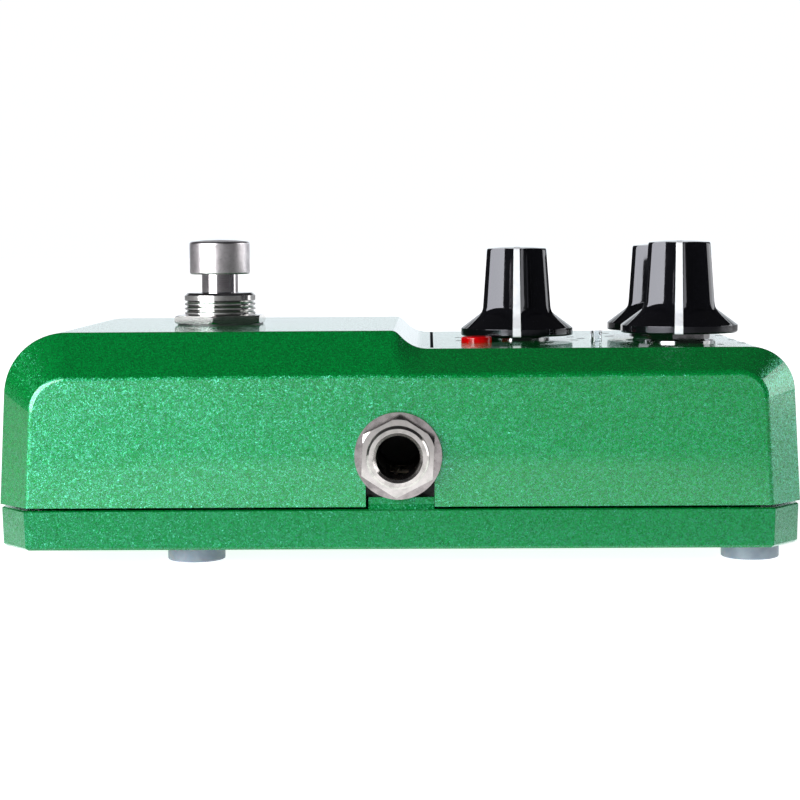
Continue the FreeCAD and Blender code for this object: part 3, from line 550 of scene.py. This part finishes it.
def stroke(mesh, points, width):
    """A chain of slabs along points, each joined to the next."""
    half = width / 2
    rails = []
    for k, point in enumerate(points):
        before = points[max(k - 1, 0)]
        after = points[min(k + 1, len(points) - 1)]
        along = (Vector(after) - Vector(before)).normalized()
        across = Vector((-along.y, along.x)) * half
        rails.append((Vector(point) - across, Vector(point) + across))
    low = [[mesh.verts.new((p.x, p.y, 0)) for p in pair] for pair in rails]
    high = [[mesh.verts.new((p.x, p.y, INK_THICK)) for p in pair] for pair in rails]
    for k in range(len(rails) - 1):
        (a, b), (c, d) = low[k], low[k + 1]
        (e, f), (g, h) = high[k], high[k + 1]
        mesh.faces.new((a, b, d, c))
        mesh.faces.new((f, e, g, h))
        mesh.faces.new((a, c, g, e))
        mesh.faces.new((b, f, h, d))
    for (a, b), (e, f) in ((low[0], high[0]), (low[-1], high[-1])):
        mesh.faces.new((a, e, f, b))


def polar(centre, radius, angle):
    return (centre.x + radius * math.cos(angle), centre.y + radius * math.sin(angle))


def dial_marks(mesh, centre):
    """Eleven ticks round a knob, open towards the footswitch, leaving out one under the lamp."""
    lamp = middle("status_led")
    for k in range(TICK_COUNT):
        angle = TICK_SPAN * (k / (TICK_COUNT - 1) - 0.5)
        stretch = TICK_STRETCH if k in (0, TICK_COUNT - 1) else 0.0
        inner, outer = TICK_RADII
        if (Vector(polar(centre, outer, angle)) - lamp.xy).length < LAMP_CLEARANCE:
            continue
        step = (outer + stretch - inner) / TICK_PIECES
        points = [polar(centre, inner + step * t, angle) for t in range(TICK_PIECES + 1)]
        stroke(mesh, points, TICK_WIDTH)


def panel_line(mesh):
    """The line across the control panel beside the step."""
    step = 2 * LINE_REACH / LINE_PIECES
    points = [(LINE_X, step * k - LINE_REACH) for k in range(LINE_PIECES + 1)]
    stroke(mesh, points, LINE_WIDTH)


def lay_on(mesh, node):
    """Drops the print onto a CAD node's surface, following its curves."""
    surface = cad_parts[node].data
    tree = BVHTree.FromPolygons([v.co for v in surface.vertices],
                                [p.vertices for p in surface.polygons], epsilon=RAY_SLACK)
    for vertex in mesh.verts:
        start = Vector((vertex.co.x, vertex.co.y, HOUSING_TOP + DROP_HEIGHT))
        hit, _, _, _ = tree.ray_cast(start, -UP)
        vertex.co.z += hit.z + INK_LIFT


def panel_print():
    """Generic dial ticks and one line, printed on the control panel."""
    mesh = bmesh.new()
    for name in KNOB_NAMES:
        dial_marks(mesh, middle("pot_shaft_" + name))
    panel_line(mesh)
    lay_on(mesh, "upper_housing")
    bmesh.ops.recalc_face_normals(mesh, faces=mesh.faces)
    piece = object_from("panel_print", mesh, printed_ink())
    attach(piece, "enclosure")


# ---- studio -------------------------------------------------------------------------------------

CAMERA_PLACE = Vector((0.00485, -0.348, 0.0496))
CAMERA_PITCH = math.radians(4.4)
CAMERA_YAW = math.radians(0.83)
CAMERA_ROLL = math.radians(0.39)
CAMERA_LENS = 93.0
SENSOR_WIDTH = 36.0
NEAR_CLIP = 0.01

FLOOR_SIZE = 12.0
GLOW_FRONT = (-0.215, -0.165)    # Y over which the floor's glow comes in, before the object
GLOW_BACK = (0.02, 0.40)         # Y over which it gains a little more, behind the object
GLOW_GAIN = 0.21
GLOW_SIDES = (0.085, 0.15)       # distance from the middle over which it dies away
GLOW_SPREAD = 0.25               # how fast those sides move out with Y
GLOW_REST = 0.15                 # share of the glow left beyond them

BACKDROP_TURN = math.radians(15)
BACKDROP_SIDES = (0.50, 0.74)    # cosine from the backdrop's middle where it starts and is full
BACKDROP_TOP = (0.25, 0.45)      # height of the direction over which it ends
BACKDROP = colour(1.0, 1.05, 1.10)
STUDIO_DARK = colour(0.03, 0.03, 0.033)

LIGHT_TARGET = (0, 0, 0.02)
LIGHTS = {    # name: place, size, power
    "key": ((-0.63, -0.65, 0.27), (0.86, 0.54), 15.5),
    "side": ((0.84, 0.16, 0.25), (0.60, 0.50), 2.6),
}


def make_camera():
    """Looks along +Y from low on the input side, tipped slightly down."""
    ahead = Vector((-math.sin(CAMERA_YAW) * math.cos(CAMERA_PITCH),
                    math.cos(CAMERA_YAW) * math.cos(CAMERA_PITCH), -math.sin(CAMERA_PITCH)))
    right = ahead.cross(UP).normalized()
    above = right.cross(ahead)
    turn = Matrix.Rotation(CAMERA_ROLL, 3, ahead)
    right = turn @ right
    above = turn @ above
    data = bpy.data.cameras.new("camera")
    data.lens = CAMERA_LENS
    data.sensor_width = SENSOR_WIDTH
    data.clip_start = NEAR_CLIP
    camera = link("camera", data)
    rows = Matrix((right, above, -ahead)).transposed().to_4x4()
    camera.matrix_world = Matrix.Translation(CAMERA_PLACE) @ rows
    bpy.context.scene.camera = camera


def floor_glow(s):
    """The strength of the floor's own light: a patch round the object that widens towards +Y."""
    place = s.axes(s.place)
    across, along = place["X"], place["Y"]
    front = s.ramp(along, *GLOW_FRONT)
    sheet = s.math("ADD", front, s.ramp(along, *GLOW_BACK, 0.0, GLOW_GAIN))
    widening = s.math("MULTIPLY", along, GLOW_SPREAD)
    aside = s.math("SUBTRACT", s.math("ABSOLUTE", across), widening)
    return s.math("MULTIPLY", sheet, s.ramp(aside, *GLOW_SIDES, 1.0, GLOW_REST))


def make_floor():
    """A large pale floor. Part of it gives off light, which keeps the ground white in the main
    view; from the sides the edges of that part show as soft bands."""
    mesh = bmesh.new()
    bmesh.ops.create_grid(mesh, x_segments=4, y_segments=4, size=FLOOR_SIZE / 2)
    s = Surface("floor_white")
    cloud = s.noise(0.3, detail=3.0)
    tone = s.mix(s.ramp(cloud, 0.3, 0.7), colour(0.90, 0.90, 0.90), colour(0.87, 0.87, 0.88))
    s.set(Base_Color=tone, Roughness=s.ramp(cloud, 0.3, 0.7, 0.7, 0.8), Emission_Color=tone,
          Emission_Strength=floor_glow(s))
    object_from("floor", mesh, s.material)


def make_light(name, place, size, power):
    """A rectangular soft light that faces the object."""
    data = bpy.data.lights.new(name, "AREA")
    data.shape = "RECTANGLE"
    data.size, data.size_y = size
    data.energy = power
    light = link(name, data)
    light.location = place
    aim = Vector(LIGHT_TARGET) - Vector(place)
    light.rotation_euler = aim.to_track_quat("-Z", "Y").to_euler()


def make_world():
    """A dark studio with a white backdrop behind the object, reaching further to the right."""
    world = bpy.data.worlds.new("studio")
    world.use_nodes = True
    bpy.context.scene.world = world
    sky = Nodes(world.node_tree)
    direction = sky.add("ShaderNodeTexCoord").outputs["Generated"]
    facing = sky.dot(direction, (math.sin(BACKDROP_TURN), math.cos(BACKDROP_TURN), 0))
    height = sky.axes(direction)["Z"]
    share = sky.math("MULTIPLY", sky.ramp(facing, *BACKDROP_SIDES),
                     sky.ramp(height, *BACKDROP_TOP, 1.0, 0.0))
    background = sky.tree.nodes["Background"]
    sky.feed(background.inputs["Color"], sky.mix(share, STUDIO_DARK, BACKDROP))


def make_studio():
    bpy.context.scene.view_settings.view_transform = "Standard"
    make_camera()
    make_floor()
    make_world()
    for name, (place, size, power) in LIGHTS.items():
        make_light(name, place, size, power)


dress_all()
panel_print()
make_studio()
